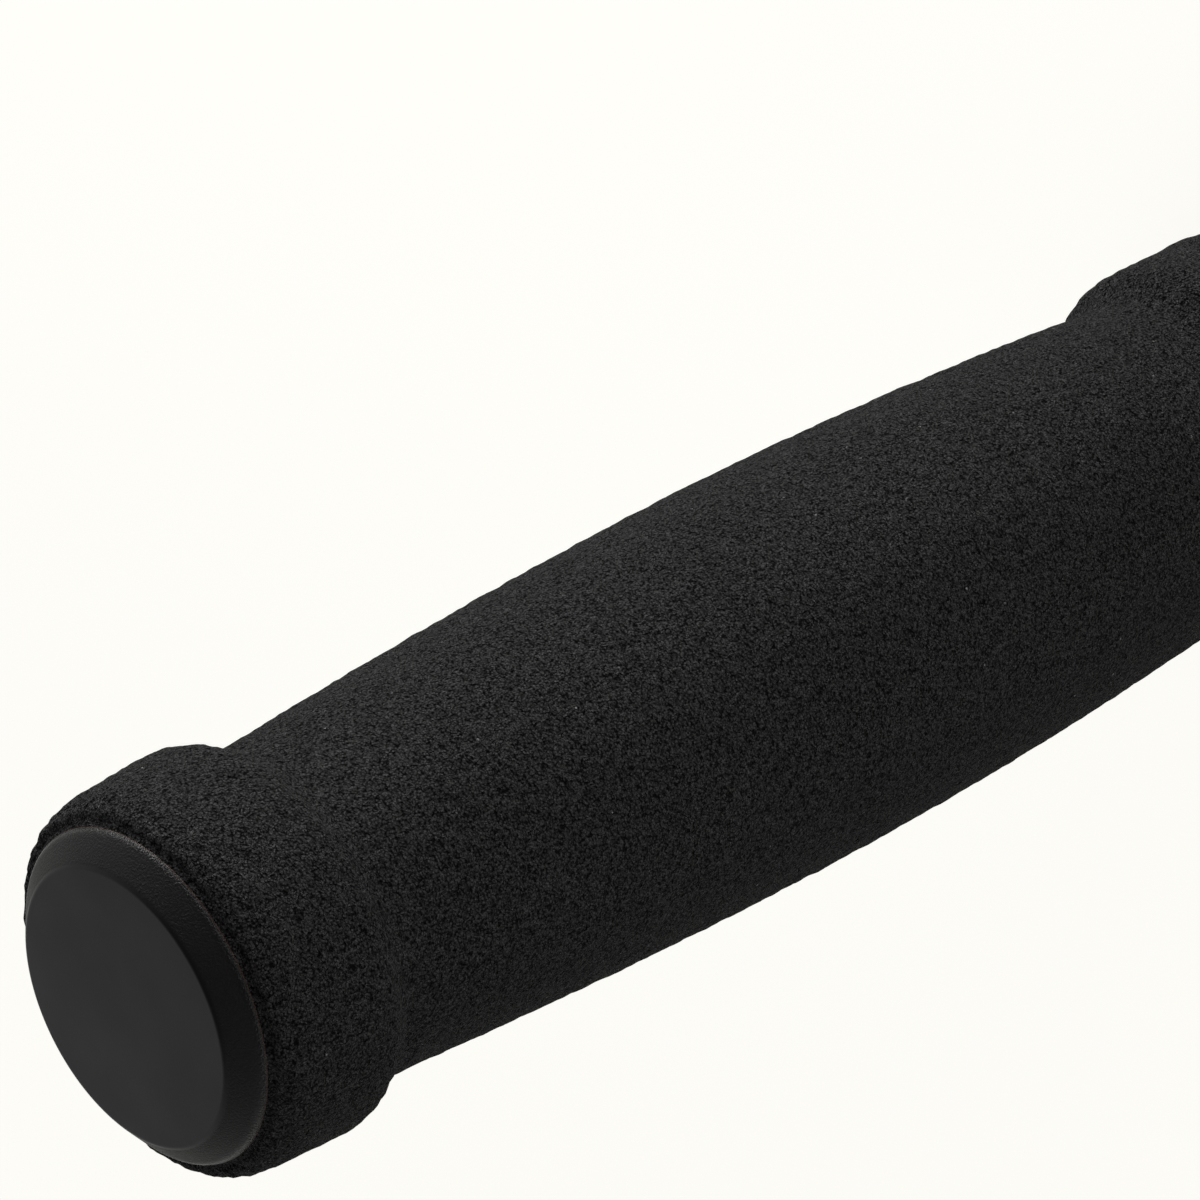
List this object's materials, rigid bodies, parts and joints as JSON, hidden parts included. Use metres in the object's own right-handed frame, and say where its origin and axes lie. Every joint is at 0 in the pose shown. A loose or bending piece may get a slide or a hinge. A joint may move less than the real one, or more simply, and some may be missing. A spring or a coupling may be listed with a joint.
{
  "type": "handlebar grip",
  "caption": "Black foam handlebar grip with a collar at each end, a crowned barrel, a through bore and a push-in plastic end plug.",
  "frame": {"origin": "centre of the flat inboard end face, where the bar's socket opens", "axes": "+Z along the handlebar, from the open inboard end to the end plug; X and Y are alike, because the grip is turned"},
  "size_m": [0.033, 0.033, 0.1323],
  "materials": {
    "foam": "open-pored matt foam, ground after moulding",
    "plug_plastic": "smooth satin disc with a finely grained chamfer"
  },
  "bodies": {
    "root": {"foam_sleeve": "foam", "end_plug": "plug_plastic"}
  },
  "joints": []
}
